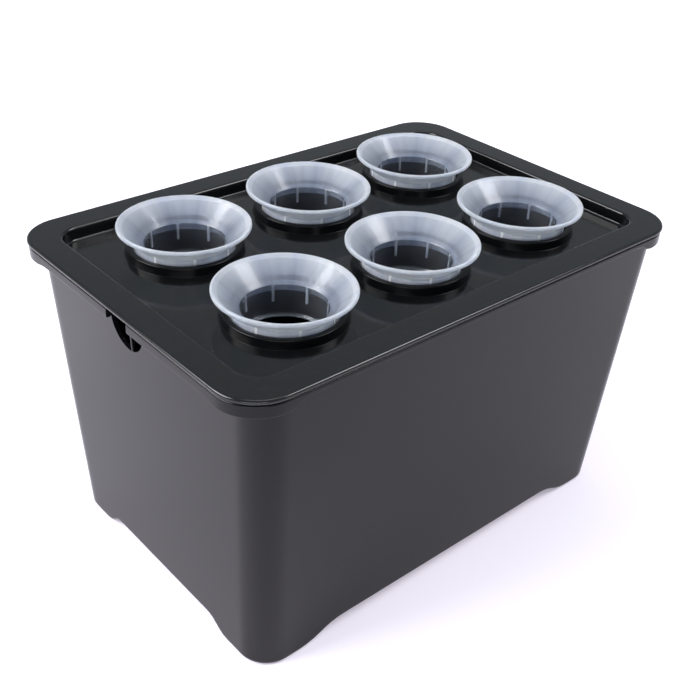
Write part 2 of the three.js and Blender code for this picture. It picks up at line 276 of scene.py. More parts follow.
# The inside of the walls and the top of the floor.
inside_edge = wall_ring(wall, wall)
floor_edge = np.maximum(wall, under_floor(inside_edge[:, 0], inside_edge[:, 1], wall))
for share in inside_shares:
    low, high = floor_edge + inner_round, tub_height - rim_edge
    tub_rings.append(wall_ring(high + share * (low - high), wall))
for rise, inset in reversed(edge_rounding(inner_round, round_steps)):
    tub_rings.append(wall_ring(floor_edge + rise, wall + inset))
floor_start = tub_rings[-1]
for share in np.linspace(1 - floor_margin, floor_margin, floor_rings):
    points = floor_start * (share, share, 0)
    points[:, 2] = np.maximum(wall, under_floor(points[:, 0], points[:, 1], wall))
    tub_rings.append(points)
tub_rows = skin(tub_mesh, tub_rings)
close_end(tub_mesh, tub_rows[0])
close_end(tub_mesh, tub_rows[-1])


def worked_out(tree, operation, first, second):
    """A node that works out one value from two, each a number or a node's output."""
    working = tree.nodes.new("ShaderNodeMath")
    working.operation = operation
    for slot, value in enumerate((first, second)):
        if isinstance(value, (int, float)):
            working.inputs[slot].default_value = value
        else:
            tree.links.new(value, working.inputs[slot])
    return working.outputs["Value"]


def mapped(tree, value, given=(0, 1), wanted=(0, 1)):
    """A node that spreads the given range of a value over the wanted one."""
    spread = tree.nodes.new("ShaderNodeMapRange")
    for socket, limit in zip(("From Min", "From Max", "To Min", "To Max"), (*given, *wanted)):
        spread.inputs[socket].default_value = limit
    tree.links.new(value, spread.inputs["Value"])
    return spread.outputs["Result"]


def embossed(tree, shader, height, depth):
    """Gives a shader a fine relief, whose depth is in metres."""
    relief = tree.nodes.new("ShaderNodeBump")
    relief.inputs["Strength"].default_value = 1.0
    relief.inputs["Distance"].default_value = depth
    tree.links.new(height, relief.inputs["Height"])
    tree.links.new(relief.outputs["Normal"], shader.inputs["Normal"])


def moulded_skin():
    """What moulded plastic shows close up: fine grain, uneven gloss, hairline scuffs and dust."""
    tree = bpy.data.node_groups.new("moulded_skin", "ShaderNodeTree")
    socket = tree.interface.new_socket
    for name, value in (("Grain Scale", 900.0), ("Scuff Scale", 1.0), ("Dust Amount", 0.5)):
        socket(name, in_out="INPUT", socket_type="NodeSocketFloat").default_value = value
    for name in ("Grain", "Mottle", "Scuffs", "Dust"):
        socket(name, in_out="OUTPUT", socket_type="NodeSocketFloat")
    node, link = tree.nodes.new, tree.links.new
    entry, result = node("NodeGroupInput"), node("NodeGroupOutput")

    def noise(place, detail, scale):
        """A noise whose scale is a number or a socket."""
        texture = node("ShaderNodeTexNoise")
        texture.inputs["Detail"].default_value = detail
        link(place, texture.inputs["Vector"])
        if isinstance(scale, (int, float)):
            texture.inputs["Scale"].default_value = scale
        else:
            link(scale, texture.inputs["Scale"])
        return texture.outputs["Fac"]

    place = node("ShaderNodeTexCoord").outputs["Object"]
    link(noise(place, detail=3, scale=entry.outputs["Grain Scale"]), result.inputs["Grain"])
    mottle = noise(place, detail=4, scale=17)
    link(mottle, result.inputs["Mottle"])

    drawn = node("ShaderNodeMapping")
    drawn.inputs["Rotation"].default_value = (0.5, 0.35, 0.8)
    drawn.inputs["Scale"].default_value = (24, 1500, 1500)
    link(place, drawn.inputs["Vector"])
    hairs = noise(drawn.outputs["Vector"], detail=1, scale=entry.outputs["Scuff Scale"])
    rare, patches = mapped(tree, hairs, given=(0.68, 0.76)), mapped(tree, mottle, given=(0.5, 0.7))
    link(worked_out(tree, "MULTIPLY", rare, patches), result.inputs["Scuffs"])

    facing = node("ShaderNodeSeparateXYZ")
    link(node("ShaderNodeNewGeometry").outputs["Normal"], facing.inputs["Vector"])
    level = mapped(tree, facing.outputs["Z"], given=(0.75, 1.0))
    specks = mapped(tree, noise(place, detail=5, scale=420), given=(0.56, 0.74))
    settled = worked_out(tree, "MULTIPLY", level, specks)
    link(worked_out(tree, "MULTIPLY", settled, entry.outputs["Dust Amount"]), result.inputs["Dust"])
    return tree


moulded_skin_tree = moulded_skin()


def black_plastic(name, deep, shallow, dust, gloss, ior, grain_scale, grain_depth, dust_amount):
    """Black polypropylene: two near tones, a roughness that drifts with the mould, scuffs and dust."""
    scuff_roughness = 0.12
    material = bpy.data.materials.new(name)
    material.use_nodes = True
    tree = material.node_tree
    node, link = tree.nodes.new, tree.links.new
    shader = tree.nodes["Principled BSDF"]
    shader.inputs["IOR"].default_value = ior
    surface = node("ShaderNodeGroup")
    surface.node_tree = moulded_skin_tree
    surface.inputs["Grain Scale"].default_value = grain_scale
    surface.inputs["Dust Amount"].default_value = dust_amount

    tone = node("ShaderNodeMix")
    tone.data_type = "RGBA"
    tone.inputs["A"].default_value = (*deep, 1)
    tone.inputs["B"].default_value = (*shallow, 1)
    link(surface.outputs["Mottle"], tone.inputs["Factor"])
    dusted = node("ShaderNodeMix")
    dusted.data_type = "RGBA"
    dusted.inputs["B"].default_value = (*dust, 1)
    link(tone.outputs["Result"], dusted.inputs["A"])
    link(surface.outputs["Dust"], dusted.inputs["Factor"])
    link(dusted.outputs["Result"], shader.inputs["Base Color"])

    sheen = mapped(tree, surface.outputs["Mottle"], wanted=gloss)
    rubbed = worked_out(tree, "MULTIPLY", surface.outputs["Scuffs"], scuff_roughness)
    link(worked_out(tree, "ADD", sheen, rubbed), shader.inputs["Roughness"])
    embossed(tree, shader, surface.outputs["Grain"], grain_depth)
    return material


satin_black = black_plastic(
    "satin_black",
    deep=(0.0030, 0.0026, 0.0036),
    shallow=(0.0052, 0.0046, 0.0062),
    dust=(0.22, 0.21, 0.20),
    gloss=(0.15, 0.23),
    ior=1.33,
    grain_scale=1500,
    grain_depth=0.00002,
    dust_amount=0.10,
)

tub_whole = finished("tub_whole", tub_mesh, satin_black)

# The window is cut through the wall below the notch, and a thin upright bar stands in it.
window_radius, window_middle, window_drop, window_cover = 14.2, 6.0, 11.3, 2.5
window_centre, window_top = tub_height - window_drop, tub_height - window_cover
window_steps, cutter_outside, cutter_inside = 32, 1.5, 1.0
window_edge = [(window_middle + window_radius, window_top), (window_middle - window_radius, window_top)]
for step in range(window_steps + 1):
    angle = math.pi * (1 + step / window_steps)
    y, z = window_radius * math.cos(angle), window_radius * math.sin(angle)
    window_edge.append((window_middle + y, window_centre + z))
window_span = (-mouth_x - cutter_outside, -mouth_x + lean_end + wall + cutter_inside)
window_mesh = bmesh.new()
prism(window_mesh, [[(x, y, z) for y, z in window_edge] for x in window_span])
window_cutter = finished("window_cutter", window_mesh, satin_black)
cut = tub_whole.modifiers.new("window", "BOOLEAN")
cut.operation = "DIFFERENCE"
cut.solver = "EXACT"
cut.object = window_cutter

tub_moulding_mesh = bmesh.new()
tub_moulding_mesh.from_mesh(
    bpy.data.meshes.new_from_object(tub_whole.evaluated_get(bpy.context.evaluated_depsgraph_get()))
)
bar_low, bar_high, bar_thickness = 2.5, 3.9, 1.6
bar_chamfer, bar_inset, bar_root = 0.35, 0.05, 0.4
bar_ends = []
for z in (window_centre - window_radius - bar_root, window_top + bar_root):
    outside = -(mouth_x - lean_end * (1 - z / tub_height)) + bar_inset
    corners = (
        (outside + bar_chamfer, bar_low),
        (outside, bar_low + bar_chamfer),
        (outside, bar_high - bar_chamfer),
        (outside + bar_chamfer, bar_high),
        (outside + bar_thickness, bar_high),
        (outside + bar_thickness, bar_low),
    )
    bar_ends.append([(x, y, z) for x, y in corners])
prism(tub_moulding_mesh, bar_ends)
bpy.data.objects.remove(tub_whole)
bpy.data.objects.remove(window_cutter)
tub_moulding = finished("tub_moulding", tub_moulding_mesh, satin_black)
even_normals(tub_moulding)
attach(tub_moulding, "tub")
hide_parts("tub")

# Lid: one moulding in glossy black polypropylene that lies loose on the tub's rim. Inside its
# border a drafted tray sinks to the panel, which carries a collar round each of the six holes.
# A rib under the border drops inside the mouth and keeps the lid in place.

seat_gap, border_thickness, recess_depth, panel_thickness = 0.3, 2.6, 7.0, 2.2
lid_under = tub_height + seat_gap
lid_top = lid_under + border_thickness
panel_top = lid_top - recess_depth
panel_under = panel_top - panel_thickness
lid_lip, lid_edge_round, edge_hold = 0.6, 1.25, 0.4
tray_gap_x, tray_gap_y, tray_corner = 2.2, 9.2, 14.2
tray_x, tray_y = mouth_x - wall - tray_gap_x, mouth_y - wall - tray_gap_y
tray_wall, recess_draft, recess_round = 2.2, 0.8, 1.5
rib_play, rib_depth, rib_chamfer = 0.6, 5.0, 0.5
rib_side_thickness, rib_end_thickness = 1.8, 1.6
rib_x, rib_y = mouth_x - wall - rib_play, mouth_y - wall - rib_play
rib_corner = wall_corner - wall - rib_play
hole_radius, hole_round = 23.8, 0.4
collar_bore, collar_wall, collar_height, collar_draft = 27.3, 3.2, 5.0, 0.5
collar_round, collar_top_round, collar_foot_round = 0.7, 0.9, 0.8
lid_corner_steps, lid_long_steps, lid_short_steps = 18, 16, 12
recess_steps, border_steps, tray_steps = 6, 5, 4
collar_steps, collar_round_steps = 96, 4
lid_outline = rounded_outline(
    lid_corner_steps, straight_shares(lid_long_steps), straight_shares(lid_short_steps)
)
# The collars stand where the frame has the cups.
cup_places = {}
for body in frame["bodies"]:
    if body.startswith("cup_"):
        lowest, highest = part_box(body)
        cup_places[body] = ((lowest + highest) / 2 / MM).xy


def border_ring(z, inset):
    """The border's outline, set in from its outside."""
    lip = lid_lip - inset
    return ring(lid_outline, rim_x + lip, rim_y + lip, rim_corner + lip, z)


def tray_ring(z, inset):
    """The tray's outline, set in from its outside."""
    return ring(lid_outline, tray_x - inset, tray_y - inset, tray_corner - inset, z)


def rib_ring(z, inset):
    """The rib's outline, set in from its outside."""
    return ring(lid_outline, rib_x - inset, rib_y - inset, rib_corner - inset, z)


def filleted(section, steps):
    """A section's points, given as (radius, height, rounding), with each corner rounded off."""
    points, most_of_side = [], 0.49
    for i, (x, z, rounding) in enumerate(section):
        here = Vector((x, z))
        if rounding == 0:
            points.append(here)
            continue
        before = Vector(section[i - 1][:2]) - here
        after = Vector(section[(i + 1) % len(section)][:2]) - here
        half = before.angle(after) / 2
        reach = min(rounding / math.tan(half), most_of_side * min(before.length, after.length))
        start, end = here + before.normalized() * reach, here + after.normalized() * reach
        for step in range(steps + 1):
            t = step / steps
            points.append(start * (1 - t) ** 2 + here * 2 * t * (1 - t) + end * t * t)
    return points


def circle_row(radius, z, middle, count):
    """The points of a level circle, in millimetres."""
    turns = np.arange(count) * 2 * math.pi / count
    x, y = middle[0] + radius * np.cos(turns), middle[1] + radius * np.sin(turns)
    return np.column_stack((x, y, np.full(count, z)))


def row_edges(mesh, row):
    """The edges along a closed row of points."""
    return [mesh.edges.get((row[i], row[(i + 1) % len(row)])) for i in range(len(row))]


# The rings run up out of the recess, over the border and back under it, round the rib and the tray.
lid_mesh = bmesh.new()
lid_rings = []
foot_inset = tray_wall + recess_draft
for rise, inset in edge_rounding(recess_round, recess_steps):
    lid_rings.append(tray_ring(panel_top + rise, foot_inset + inset))
for drop, inset in reversed(edge_rounding(recess_round, recess_steps)):
    lid_rings.append(tray_ring(lid_top - drop, tray_wall - inset))
lid_rings.append(tray_ring(lid_top, tray_wall - recess_round - edge_hold))
lid_rings.append(border_ring(lid_top, lid_edge_round + edge_hold))
for drop, inset in edge_rounding(lid_edge_round, border_steps):
    lid_rings.append(border_ring(lid_top - drop, inset))
for rise, inset in reversed(edge_rounding(lid_edge_round, border_steps)):
    lid_rings.append(border_ring(lid_under + rise, inset))
rib_end = lid_under - rib_depth
lid_rings.append(rib_ring(lid_under, 0))
lid_rings.append(rib_ring(rib_end + rib_chamfer, 0))
lid_rings.append(rib_ring(rib_end, rib_chamfer))
on_long_side = np.abs(lid_outline[1][:, 1])
slit = rib_depth * on_long_side
rib_thickness = rib_end_thickness + (rib_side_thickness - rib_end_thickness) * on_long_side
lid_rings.append(rib_ring(rib_end, rib_thickness))
lid_rings.append(rib_ring(rib_end + slit, rib_thickness))
lid_rings.append(tray_ring(rib_end + slit, 0))
for rise, inset in reversed(edge_rounding(lid_edge_round, tray_steps)):
    lid_rings.append(tray_ring(panel_under + rise, inset))
lid_rows = skin(lid_mesh, lid_rings)

collar_outer = collar_bore + collar_wall
collar_section = filleted(
    [
        (hole_radius, panel_under, 0),
        (hole_radius, panel_top, hole_round),
        (collar_bore, panel_top, hole_round),
        (collar_bore, panel_top + collar_height, collar_top_round),
        (collar_outer, panel_top + collar_height, collar_top_round),
        (collar_outer + collar_draft, panel_top, collar_foot_round),
        (collar_outer + collar_draft + collar_round, panel_top, 0),
    ],
    collar_round_steps,
)
top_edges, under_edges = row_edges(lid_mesh, lid_rows[0]), row_edges(lid_mesh, lid_rows[-1])
for place in cup_places.values():
    rows = skin(lid_mesh, [circle_row(radius, z, place, collar_steps) for radius, z in collar_section])
    # Collar faces take the lid's second finish, a darker copy of its plastic: painted shade.
    for face in {face for row in rows[1:-1] for vert in row for face in vert.link_faces}:
        face.material_index = 1
    under_edges += row_edges(lid_mesh, rows[0])
    top_edges += row_edges(lid_mesh, rows[-1])
bmesh.ops.triangle_fill(lid_mesh, use_beauty=True, edges=top_edges)
bmesh.ops.triangle_fill(lid_mesh, use_beauty=True, edges=under_edges)

glossy_black = black_plastic(
    "glossy_black",
    deep=(0.0030, 0.0032, 0.0036),
    shallow=(0.0055, 0.0058, 0.0062),
    dust=(0.26, 0.29, 0.30),
    gloss=(0.10, 0.17),
    ior=1.46,
    grain_scale=700,
    grain_depth=0.000006,
    dust_amount=0.015,
)
# The collars take a darker, less reflective copy of the lid's plastic, though they are part of the same
# moulding: painted shade.
collar_black_painted_shade = black_plastic(
    "collar_black_painted_shade",
    deep=(0.0020, 0.0022, 0.0026),
    shallow=(0.0040, 0.0043, 0.0048),
    dust=(0.26, 0.29, 0.30),
    gloss=(0.16, 0.26),
    ior=1.27,
    grain_scale=700,
    grain_depth=0.000008,
    dust_amount=0.006,
)
lid_moulding = finished("lid_moulding", lid_mesh, glossy_black, collar_black_painted_shade)
even_normals(lid_moulding)
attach(lid_moulding, "lid")
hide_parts("lid")

# Planting cups: six alike, thin mouldings in frosted clear polypropylene, open right through.
# Each has a flared cone with a rolled rim, a tube that hangs through the lid's hole, and a skirt
# that stands loose in the collar and is tied to the neck by thin webs.

rim_radius, rim_height, bead = 35.0, 16.0, 0.9
neck_radius, neck_height, cup_wall = 21.2, 5.2, 1.6
skirt_inner, skirt_outer, skirt_foot = 25.0, 26.5, 0.3
tube_end, tube_draft, tube_lip, tube_lip_height = -12.0, 0.8, 0.8, 1.1
cone_slope = (rim_height - neck_height - bead) / (rim_radius - 2 * bead - neck_radius)
cone_drop = cup_wall * math.hypot(1, cone_slope)
web_count, web_thickness, web_lift = 8, 1.2, 0.6
tube_rib_proud, tube_rib_end, tube_rib_overlap = 0.45, -4.2, 0.4
tip_round, root_round, skirt_round, flare_round, neck_round, lip_round = 0.4, 0.5, 0.7, 0.6, 1.4, 0.3
# Rings beside the roundings of the section keep each long run between them even.
hold_near, hold_band, hold_share, long_run = 0.5, 2.2, 0.4, 2.0
cup_steps, cup_round_steps, bead_steps = 120, 5, 8
cup_height = rim_height - tube_end


def under_cone(radius):
    """The height of the flare's underside at a radius."""
    return neck_height + cone_slope * (radius - neck_radius) - cone_drop


# The section runs up the outside of the tube, round the skirt and the rim, and down the inside.
neck_outer = neck_radius + cup_wall
cup_section = [
    (neck_outer - tube_draft, tube_end, tip_round),
    (neck_outer, under_cone(neck_outer), root_round),
    (skirt_inner, under_cone(skirt_inner), root_round),
    (skirt_inner, skirt_foot, tip_round),
    (skirt_outer, skirt_foot, tip_round),
    (skirt_outer, under_cone(skirt_outer), skirt_round),
    (rim_radius - 2 * bead, under_cone(rim_radius - 2 * bead), flare_round),
    (rim_radius, rim_height - 2 * bead, root_round),
]
down_cone = Vector((rim_radius - bead - neck_radius, rim_height - bead - neck_height))
cone_turn = math.atan2(down_cone.y, down_cone.x) + math.asin(bead / down_cone.length)
bead_turn = math.pi / 2 + cone_turn
for step in range(bead_steps + 1):
    angle = bead_turn * step / bead_steps
    x, z = bead * math.cos(angle), bead * math.sin(angle)
    cup_section.append((rim_radius - bead + x, rim_height - bead + z, 0))
cup_section += [
    (neck_radius, neck_height, neck_round),
    (neck_radius - tube_draft, tube_end + 2 * tube_lip_height, root_round),
    (neck_radius - tube_draft - tube_lip, tube_end + tube_lip_height, lip_round),
    (neck_radius - tube_draft - tube_lip, tube_end, lip_round),
]
cup_profile = []
rounded_section = filleted(cup_section, cup_round_steps)
for i, start in enumerate(rounded_section):
    cup_profile.append(start)
    run = rounded_section[(i + 1) % len(rounded_section)] - start
    if run.length > long_run:
        near = hold_near * run.normalized()
        band = min(hold_band, hold_share * run.length) * run.normalized()
        cup_profile += [start + near, start + band, start + run - band, start + run - near]
cup_mesh = bmesh.new()
cup_rows = skin(cup_mesh, [circle_row(radius, z, (0, 0), cup_steps) for radius, z in cup_profile])
for i in range(cup_steps):
    j = (i + 1) % cup_steps
    cup_mesh.faces.new((cup_rows[-1][i], cup_rows[-1][j], cup_rows[0][j], cup_rows[0][i]))


def turns_round(point):
    """How far round the cup's axis a point lies, in turns."""
    return math.atan2(point.y, point.x) / (2 * math.pi)


turn_map = cup_mesh.loops.layers.uv.new("turn")
for face in cup_mesh.faces:
    about = turns_round(face.calc_center_median())
    for loop in face.loops:
        turns = turns_round(loop.vert.co)
        turns += round(about - turns)
        loop[turn_map].uv = (turns + 0.5, (loop.vert.co.z / MM - tube_end) / cup_height)


def clear_plastic(name, transmission, milk, bright, gloss, coat, depth, marks, painted_neck_shade=0.0):
    """Clear polypropylene: a milky tint in streaks up the section, and fine tool marks.

    The tint also darkens from the rim down towards the neck, by a share given as the last argument:
    painted shade deep in the cup.
    """
    streak_rise, neck_share = 0.08, (neck_height - tube_end) / cup_height
    material = bpy.data.materials.new(name)
    material.use_nodes = True
    tree = material.node_tree
    node, link = tree.nodes.new, tree.links.new
    shader = tree.nodes["Principled BSDF"]
    shader.inputs["IOR"].default_value = 1.49
    shader.inputs["Transmission Weight"].default_value = transmission
    shader.inputs["Coat Weight"].default_value = coat
    shader.inputs["Coat Roughness"].default_value = 0.11
    shader.inputs["Coat IOR"].default_value = 1.45
    shader.inputs["Subsurface Weight"].default_value = depth
    shader.inputs["Subsurface Radius"].default_value = (1, 1, 1)
    shader.inputs["Subsurface Scale"].default_value = 0.002

    turn = node("ShaderNodeUVMap")
    turn.uv_map = "turn"
    place = node("ShaderNodeSeparateXYZ")
    link(turn.outputs["UV"], place.inputs["Vector"])
    start = node("ShaderNodeCombineXYZ")
    start.inputs["X"].default_value = 1
    link(worked_out(tree, "MULTIPLY", place.outputs["Y"], streak_rise), start.inputs["Z"])
    round_axis = node("ShaderNodeVectorRotate")
    round_axis.rotation_type = "Z_AXIS"
    link(start.outputs["Vector"], round_axis.inputs["Vector"])
    link(worked_out(tree, "MULTIPLY", place.outputs["X"], 2 * math.pi), round_axis.inputs["Angle"])
    streaks = node("ShaderNodeTexNoise")
    streaks.inputs["Scale"].default_value = 2.4
    streaks.inputs["Detail"].default_value = 6
    streaks.inputs["Roughness"].default_value = 0.62
    link(round_axis.outputs["Vector"], streaks.inputs["Vector"])
    # Painted shade: besides the streaks, the tint follows the height, darker near the neck and paler at
    # the rim.
    streaks_and_painted_shade = node("ShaderNodeMix")
    streaks_and_painted_shade.inputs["Factor"].default_value = painted_neck_shade
    link(mapped(tree, streaks.outputs["Fac"], given=(0.3, 0.7)), streaks_and_painted_shade.inputs["A"])
    link(mapped(tree, place.outputs["Y"], given=(neck_share, 1)), streaks_and_painted_shade.inputs["B"])
    tint = node("ShaderNodeMix")
    tint.data_type = "RGBA"
    tint.inputs["A"].default_value = (*milk, 1)
    tint.inputs["B"].default_value = (*bright, 1)
    link(streaks_and_painted_shade.outputs["Result"], tint.inputs["Factor"])
    link(tint.outputs["Result"], shader.inputs["Base Color"])

    surface = node("ShaderNodeGroup")
    surface.node_tree = moulded_skin_tree
    surface.inputs["Grain Scale"].default_value = 1100
    link(mapped(tree, surface.outputs["Mottle"], wanted=gloss), shader.inputs["Roughness"])
    hatch = node("ShaderNodeTexWave")
    hatch.wave_type = "BANDS"
    hatch.bands_direction = "X"
    hatch.inputs["Scale"].default_value = 56
    hatch.inputs["Distortion"].default_value = 0.6
    link(turn.outputs["UV"], hatch.inputs["Vector"])
    tool_marks = worked_out(tree, "ADD", hatch.outputs["Fac"], surface.outputs["Grain"])
    embossed(tree, shader, tool_marks, marks)
    return material


# The cone's tint is far darker than the rest of the cup's and darkest near the neck: painted shade in
# the hollow of the cup.
frosted_cone_painted_shade = clear_plastic(
    "frosted_cone_painted_shade",
    transmission=0.82,
    milk=(0.13, 0.18, 0.30),
    bright=(0.88, 0.92, 1.0),
    gloss=(0.26, 0.38),
    coat=0.5,
    depth=0.6,
    marks=0.00003,
    painted_neck_shade=0.6,
)
milky_rim = clear_plastic(
    "milky_rim",
    transmission=0.66,
    milk=(0.70, 0.76, 0.92),
    bright=(0.93, 0.95, 1.0),
    gloss=(0.30, 0.42),
    coat=0.12,
    depth=0.6,
    marks=0.00001,
)
# The flare's underside takes a paler, milkier tint than the cone's top of the same wall: painted light
# on an underside that lies in shade.
milky_flare_painted_light = clear_plastic(
    "milky_flare_painted_light",
    transmission=0.36,
    milk=(0.80, 0.85, 0.95),
    bright=(0.95, 0.96, 1.0),
    gloss=(0.36, 0.46),
    coat=0.05,
    depth=1.0,
    marks=0.00001,
)
clear_skirt = clear_plastic(
    "clear_skirt",
    transmission=0.48,
    milk=(0.62, 0.67, 0.78),
    bright=(0.95, 0.97, 1.0),
    gloss=(0.14, 0.24),
    coat=0.6,
    depth=0.8,
    marks=0.00001,
)
clear_neck = clear_plastic(
    "clear_neck",
    transmission=0.965,
    milk=(0.58, 0.65, 0.80),
    bright=(0.88, 0.92, 1.0),
    gloss=(0.12, 0.22),
    coat=0.1,
    depth=0.6,
    marks=0.00001,
)
milky_web = clear_plastic(
    "milky_web",
    transmission=0.20,
    milk=(0.85, 0.90, 0.97),
    bright=(0.97, 0.98, 1.0),
    gloss=(0.24, 0.36),
    coat=0.3,
    depth=0.6,
    marks=0.00001,
)


def webbed_cup():
    """Nodes that set the webs round a cup's neck, each a plate whose top follows the cone."""
    tree = bpy.data.node_groups.new("webbed_cup", "GeometryNodeTree")
    socket = tree.interface.new_socket
    socket("Geometry", in_out="INPUT", socket_type="NodeSocketGeometry")
    socket("Web Count", in_out="INPUT", socket_type="NodeSocketInt")
    for name in ("Web Length", "Web Thickness", "Web Height", "Web Radius", "Web Middle", "Cone Slope"):
        socket(name, in_out="INPUT", socket_type="NodeSocketFloat")
    socket("Material", in_out="INPUT", socket_type="NodeSocketMaterial")
    socket("Geometry", in_out="OUTPUT", socket_type="NodeSocketGeometry")
    node, link = tree.nodes.new, tree.links.new
    entry, result = node("NodeGroupInput"), node("NodeGroupOutput")

    def combined(x=None, y=None, z=None):
        """A vector from the outputs given, with 0 on the other axes."""
        vector = node("ShaderNodeCombineXYZ")
        for value, axis in ((x, "X"), (y, "Y"), (z, "Z")):
            if value is not None:
                link(value, vector.inputs[axis])
        return vector.outputs["Vector"]

    plate = node("GeometryNodeMeshCube")
    sizes = [entry.outputs[name] for name in ("Web Length", "Web Thickness", "Web Height")]
    link(combined(*sizes), plate.inputs["Size"])
    position = node("GeometryNodeInputPosition")
    axes = node("ShaderNodeSeparateXYZ")
    link(position.outputs["Position"], axes.inputs["Vector"])
    on_top = worked_out(tree, "GREATER_THAN", axes.outputs["Z"], 0.0)
    slope = worked_out(tree, "MULTIPLY", axes.outputs["X"], entry.outputs["Cone Slope"])
    sloped = node("GeometryNodeSetPosition")
    link(plate.outputs["Mesh"], sloped.inputs["Geometry"])
    link(combined(z=worked_out(tree, "MULTIPLY", slope, on_top)), sloped.inputs["Offset"])
    moved = node("GeometryNodeTransform")
    link(sloped.outputs["Geometry"], moved.inputs["Geometry"])
    shift = combined(x=entry.outputs["Web Radius"], z=entry.outputs["Web Middle"])
    link(shift, moved.inputs["Translation"])

    starts = node("GeometryNodePoints")
    link(entry.outputs["Web Count"], starts.inputs["Count"])
    index = node("GeometryNodeInputIndex")
    step = worked_out(tree, "DIVIDE", 2 * math.pi, entry.outputs["Web Count"])
    half_steps = worked_out(tree, "ADD", index.outputs["Index"], 0.5)
    placed = node("GeometryNodeInstanceOnPoints")
    link(starts.outputs["Points"], placed.inputs["Points"])
    link(moved.outputs["Geometry"], placed.inputs["Instance"])
    link(combined(z=worked_out(tree, "MULTIPLY", half_steps, step)), placed.inputs["Rotation"])
    whole = node("GeometryNodeJoinGeometry")
    link(placed.outputs["Instances"], whole.inputs["Geometry"])
    link(entry.outputs["Geometry"], whole.inputs["Geometry"])
    real = node("GeometryNodeRealizeInstances")
    link(whole.outputs["Geometry"], real.inputs["Geometry"])
    coated = node("GeometryNodeSetMaterial")
    link(real.outputs["Geometry"], coated.inputs["Geometry"])
    link(entry.outputs["Material"], coated.inputs["Material"])
    link(coated.outputs["Geometry"], result.inputs["Geometry"])
    return tree


web_tree = webbed_cup()
web_holder = bpy.data.objects.new("cup_webs", bpy.data.meshes.new("cup_webs"))
bpy.context.scene.collection.objects.link(web_holder)


def set_webs(name, inner, outer, low, high, slope):
    """Webs between two radii and two heights, the upper one taken at the middle of their length."""
    sizes = {
        "Web Count": web_count,
        "Web Length": (outer - inner) * MM,
        "Web Thickness": web_thickness * MM,
        "Web Height": (high - low) * MM,
        "Web Radius": (inner + outer) / 2 * MM,
        "Web Middle": (high + low) / 2 * MM,
        "Cone Slope": slope,
        "Material": milky_web,
    }
    webs = web_holder.modifiers.new(name, "NODES")
    webs.node_group = web_tree
    for socket in web_tree.interface.items_tree:
        if socket.in_out == "INPUT" and socket.name in sizes:
            webs[socket.identifier] = sizes[socket.name]


web_inner, web_outer = neck_radius + cup_wall / 2, (skirt_inner + skirt_outer) / 2
web_top = under_cone((web_inner + web_outer) / 2) + cone_drop / 2
set_webs("webs", web_inner, web_outer, web_lift, web_top, cone_slope)
tube_rib_outer, tube_rib_top = neck_outer + tube_rib_proud, web_lift + tube_rib_overlap
set_webs("tube_ribs", web_inner, tube_rib_outer, tube_rib_end, tube_rib_top, 0)
web_shape = bpy.data.meshes.new_from_object(
    web_holder.evaluated_get(bpy.context.evaluated_depsgraph_get())
)
web_holder.modifiers.clear()
bpy.data.objects.remove(web_holder)
wall_faces = len(cup_mesh.faces)
cup_mesh.from_mesh(web_shape)
cup_finishes = (frosted_cone_painted_shade, milky_rim, milky_flare_painted_light, clear_skirt, clear_neck, milky_web)
# The webs and the wall behind them share one finish. Each other face takes that of its place: the cone's
# top a dark tint, painted shade, and the flare's underside a pale one, painted light.
rim_band, under_margin, side_margin, web_share = 2.6, 0.1, 0.2, 0.04
for i, face in enumerate(cup_mesh.faces):
    middle = face.calc_center_median() / MM
    reach, height = middle.xy.length, middle.z
    web_place = turns_round(middle) * web_count % 1
    under = height < under_cone(reach) - under_margin
    behind_web = abs(web_place - 0.5) < web_share and under and height > skirt_foot
    if i >= wall_faces or behind_web:
        finish = milky_web
    elif reach < neck_outer + side_margin and height < neck_height:
        finish = clear_neck
    elif reach < skirt_outer + side_margin and under:
        finish = clear_skirt
    elif height < under_cone(reach) + cone_drop / 2 and reach < rim_radius - 2 * bead:
        finish = milky_flare_painted_light
    elif reach > rim_radius - rim_band:
        finish = milky_rim
    else:
        finish = frosted_cone_painted_shade
    face.material_index = cup_finishes.index(finish)
plain_cup = finished("plain_cup", cup_mesh, *cup_finishes)
cup_shape = plain_cup.data
bpy.data.objects.remove(plain_cup)
for node_name, (x, y) in cup_places.items():
    shape = cup_shape.copy()
    shape.transform(Matrix.Translation(Vector((x, y, panel_top)) * MM))
    cup = bpy.data.objects.new("frosted_" + node_name, shape)
    bpy.context.scene.collection.objects.link(cup)
    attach(cup, node_name)
    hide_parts(node_name)

# Studio: a pale floor that glows for camera, glossy and transmission rays, its glow weaker near the box
# as painted shade, a soft sky that is pale at the horizon, and large soft lamps.
# The camera stands where the box is seen from above its near corner.

floor_half, mirror_share = 6, 0.4
floor_corners = [(x * floor_half, y * floor_half, 0) for x, y in ((-1, -1), (1, -1), (1, 1), (-1, 1))]
floor_mesh = bpy.data.meshes.new("studio_floor")
floor_mesh.from_pydata(floor_corners, [], [(0, 1, 2, 3)])
studio_floor = bpy.data.objects.new("studio_floor", floor_mesh)
bpy.context.scene.collection.objects.link(studio_floor)
floor_paint = bpy.data.materials.new("floor_paint")
floor_paint.use_nodes = True
floor_tree = floor_paint.node_tree
floor_shader = floor_tree.nodes["Principled BSDF"]
floor_shader.inputs["Base Color"].default_value = (0.82, 0.79, 0.85, 1)
floor_shader.inputs["Roughness"].default_value = 0.9
floor_shader.inputs["Emission Color"].default_value = (0.92, 0.84, 1.0, 1)
floor_ray = floor_tree.nodes.new("ShaderNodeLightPath")
floor_mirrored = worked_out(floor_tree, "MULTIPLY", floor_ray.outputs["Is Glossy Ray"], mirror_share)
floor_lift = worked_out(floor_tree, "MAXIMUM", floor_ray.outputs["Is Camera Ray"], floor_mirrored)
